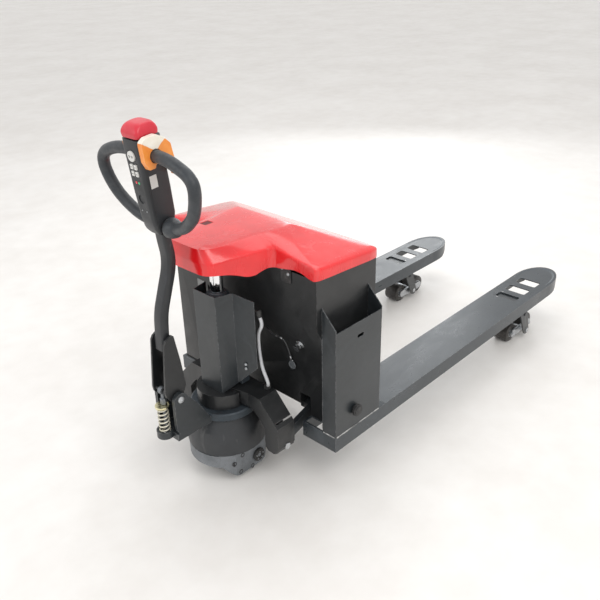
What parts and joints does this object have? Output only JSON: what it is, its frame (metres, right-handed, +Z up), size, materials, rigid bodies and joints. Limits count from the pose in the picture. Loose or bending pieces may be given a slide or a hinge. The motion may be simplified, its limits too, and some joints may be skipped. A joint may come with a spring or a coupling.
{
  "type": "electric walkie pallet truck",
  "caption": "Walk-behind electric pallet jack with load forks on tandem rollers, battery housing under a red cover, and a steered drive unit with tiller.",
  "frame": {"origin": "on the floor under the middle of the truck's outer box", "axes": "+X towards the fork tips, +Y to the left of someone facing the tips, +Z up"},
  "size_m": [1.8, 0.7024, 1.0901],
  "materials": {
    "frame_paint": "satin blue-grey powder coat, scratched along the welds",
    "housing_paint": "satin near-black powder coat",
    "cover_red": "glossy moulded red",
    "chrome": "polished",
    "zinc": "bright zinc plating",
    "yellow_zinc": "pale yellow zinc plating",
    "casting": "sand-cast, silver-grey",
    "blue_casting": "blue-grey primed casting",
    "dark_plastic": "fine-grained charcoal",
    "grip_rubber": "smooth slate-grey soft grip",
    "black_rubber": "matt black",
    "roller_tyre": "dark grey-brown polyurethane",
    "drive_tyre": "matt black, fine tread",
    "white_plastic": "matt white keys",
    "orange_plastic": "cream above, orange below",
    "button_red": "soft satin red",
    "battery_case": "moulded battery case",
    "cable": "silver-grey jacket"
  },
  "bodies": {
    "base": {"base_arch": "housing_paint", "ram_shroud": "frame_paint", "lift_cylinder": "blue_casting", "leg_pin_left": "zinc", "leg_pin_right": "zinc", "power_cable": "cable"},
    "steer": {"steering_ring": "blue_casting", "drive_casting": "casting", "gear_case": "casting", "drive_motor": "dark_plastic", "motor_cover": "dark_plastic", "tiller_mount": "frame_paint", "tiller_pin": "zinc", "return_spring": "zinc"},
    "wheel": {"drive_tyre": "drive_tyre", "drive_hub": "casting"},
    "tiller": {"tiller_clevis": "housing_paint", "tiller_arm": "dark_plastic", "head_housing": "dark_plastic", "grip_left": "grip_rubber", "grip_right": "grip_rubber"},
    "spring_rod": {"spring_rod": "casting", "spring_washer": "yellow_zinc"},
    "throttle": {"throttle_left": "orange_plastic", "throttle_right": "orange_plastic"},
    "belly_button": {"belly_button": "button_red"},
    "horn": {"horn_button": "white_plastic"},
    "key_a": {"key_a": "white_plastic"},
    "key_b": {"key_b": "white_plastic"},
    "key_c": {"key_c": "white_plastic"},
    "key_d": {"key_d": "white_plastic"},
    "frame": {"fork_left": "frame_paint", "fork_right": "frame_paint", "heel_beam": "frame_paint", "body_shell": "housing_paint", "document_pocket": "frame_paint", "side_cap": "black_rubber", "top_cover": "cover_red", "battery_pack": "battery_case", "pump_unit": "casting", "controller": "zinc", "lift_ram": "chrome", "key_switch": "zinc", "charge_socket": "black_rubber", "key_tether": "zinc", "key_tag": "dark_plastic"},
    "ignition": {"ignition_key": "dark_plastic"},
    "rocker": {"rocker_shaft": "frame_paint"},
    "push_rod_left": {"push_rod_left": "frame_paint"},
    "yoke_left": {"yoke_left": "frame_paint"},
    "bogie_left": {"bogie_left": "zinc"},
    "roller_front_left": {"roller_front_left": "roller_tyre"},
    "roller_rear_left": {"roller_rear_left": "roller_tyre"},
    "push_rod_right": {"push_rod_right": "frame_paint"},
    "yoke_right": {"yoke_right": "frame_paint"},
    "bogie_right": {"bogie_right": "zinc"},
    "roller_front_right": {"roller_front_right": "roller_tyre"},
    "roller_rear_right": {"roller_rear_right": "roller_tyre"}
  },
  "joints": [
    {"name": "fork_lift", "type": "slide", "parent": "base", "child": "frame", "axis": [0, 0, 1], "range_m": [-0.1, 0]},
    {"name": "rocker_turn", "type": "hinge", "parent": "frame", "child": "rocker", "pos_m": [-0.461, 0.00875, 0.191], "axis": [0, 1, 0], "range_deg": [-0.5, 36]},
    {"name": "steering", "type": "hinge", "parent": "base", "child": "steer", "pos_m": [-0.658, 0.00875, 0.212], "axis": [0, 0, 1], "range_deg": [-65, 65]},
    {"name": "drive_spin", "type": "hinge", "parent": "steer", "child": "wheel", "pos_m": [-0.658, 0.00875, 0.105], "axis": [0, 1, 0], "continuous": true},
    {"name": "tiller_tilt", "type": "hinge", "parent": "steer", "child": "tiller", "pos_m": [-0.843, 0.00875, 0.34], "axis": [0, -1, 0], "range_deg": [0, 80], "stiffness_Nm_per_rad": 45, "deforming": ["return_spring"]},
    {"name": "spring_rod_turn", "type": "hinge", "parent": "tiller", "child": "spring_rod", "pos_m": [-0.87, 0.00875, 0.365], "axis": [0, -1, 0], "range_deg": [-80.5, 0.5]},
    {"name": "throttle_turn", "type": "hinge", "parent": "tiller", "child": "throttle", "pos_m": [-0.83705, 0.00875, 1.01206], "axis": [0, 1, 0], "range_deg": [-20, 20], "stiffness_Nm_per_rad": 1.2},
    {"name": "belly_button_push", "type": "slide", "parent": "tiller", "child": "belly_button", "axis": [0.1167, 0, -0.9932], "range_m": [0, 0.0035], "stiffness_N_per_m": 1500},
    {"name": "horn_push", "type": "slide", "parent": "tiller", "child": "horn", "axis": [0.9932, 0, 0.1167], "range_m": [0, 0.0015], "stiffness_N_per_m": 800},
    {"name": "key_a_push", "type": "slide", "parent": "tiller", "child": "key_a", "axis": [0.9932, 0, 0.1167], "range_m": [0, 0.0015], "stiffness_N_per_m": 800},
    {"name": "key_b_push", "type": "slide", "parent": "tiller", "child": "key_b", "axis": [0.9932, 0, 0.1167], "range_m": [0, 0.0015], "stiffness_N_per_m": 800},
    {"name": "key_c_push", "type": "slide", "parent": "tiller", "child": "key_c", "axis": [0.9932, 0, 0.1167], "range_m": [0, 0.0015], "stiffness_N_per_m": 800},
    {"name": "key_d_push", "type": "slide", "parent": "tiller", "child": "key_d", "axis": [0.9932, 0, 0.1167], "range_m": [0, 0.0015], "stiffness_N_per_m": 800},
    {"name": "ignition_turn", "type": "hinge", "parent": "frame", "child": "ignition", "pos_m": [-0.51863, -0.17725, 0.426], "axis": [-0.9037, 0, -0.4281], "range_deg": [0, 90]},
    {"name": "push_rod_left_slide", "type": "slide", "parent": "frame", "child": "push_rod_left", "axis": [1, 0, 0], "range_m": [-0.0155, 0.0005]},
    {"name": "yoke_left_turn", "type": "hinge", "parent": "frame", "child": "yoke_left", "pos_m": [0.574, 0.27525, 0.157], "axis": [0, 1, 0], "range_deg": [-59, 0.5]},
    {"name": "bogie_left_turn", "type": "hinge", "parent": "yoke_left", "child": "bogie_left", "pos_m": [0.625, 0.27525, 0.037], "axis": [0, 1, 0], "range_deg": [-0.5, 59]},
    {"name": "roller_front_left_spin", "type": "hinge", "parent": "bogie_left", "child": "roller_front_left", "pos_m": [0.563, 0.27525, 0.037], "axis": [0, 1, 0], "continuous": true},
    {"name": "roller_rear_left_spin", "type": "hinge", "parent": "bogie_left", "child": "roller_rear_left", "pos_m": [0.687, 0.27525, 0.037], "axis": [0, 1, 0], "continuous": true},
    {"name": "push_rod_right_slide", "type": "slide", "parent": "frame", "child": "push_rod_right", "axis": [1, 0, 0], "range_m": [-0.0155, 0.0005]},
    {"name": "yoke_right_turn", "type": "hinge", "parent": "frame", "child": "yoke_right", "pos_m": [0.574, -0.25775, 0.157], "axis": [0, 1, 0], "range_deg": [-59, 0.5]},
    {"name": "bogie_right_turn", "type": "hinge", "parent": "yoke_right", "child": "bogie_right", "pos_m": [0.625, -0.25775, 0.037], "axis": [0, 1, 0], "range_deg": [-0.5, 59]},
    {"name": "roller_front_right_spin", "type": "hinge", "parent": "bogie_right", "child": "roller_front_right", "pos_m": [0.563, -0.25775, 0.037], "axis": [0, 1, 0], "continuous": true},
    {"name": "roller_rear_right_spin", "type": "hinge", "parent": "bogie_right", "child": "roller_rear_right", "pos_m": [0.687, -0.25775, 0.037], "axis": [0, 1, 0], "continuous": true}
  ],
  "couplings": [
    {"joint": "rocker_turn", "follows": "fork_lift", "rad_per_m": -6.14},
    {"joint": "spring_rod_turn", "follows": "tiller_tilt", "ratio": -1},
    {"joint": "push_rod_left_slide", "follows": "fork_lift", "ratio": 0.147},
    {"joint": "yoke_left_turn", "follows": "fork_lift", "rad_per_m": 10.149},
    {"joint": "bogie_left_turn", "follows": "fork_lift", "rad_per_m": -10.149},
    {"joint": "push_rod_right_slide", "follows": "fork_lift", "ratio": 0.147},
    {"joint": "yoke_right_turn", "follows": "fork_lift", "rad_per_m": 10.149},
    {"joint": "bogie_right_turn", "follows": "fork_lift", "rad_per_m": -10.149}
  ]
}
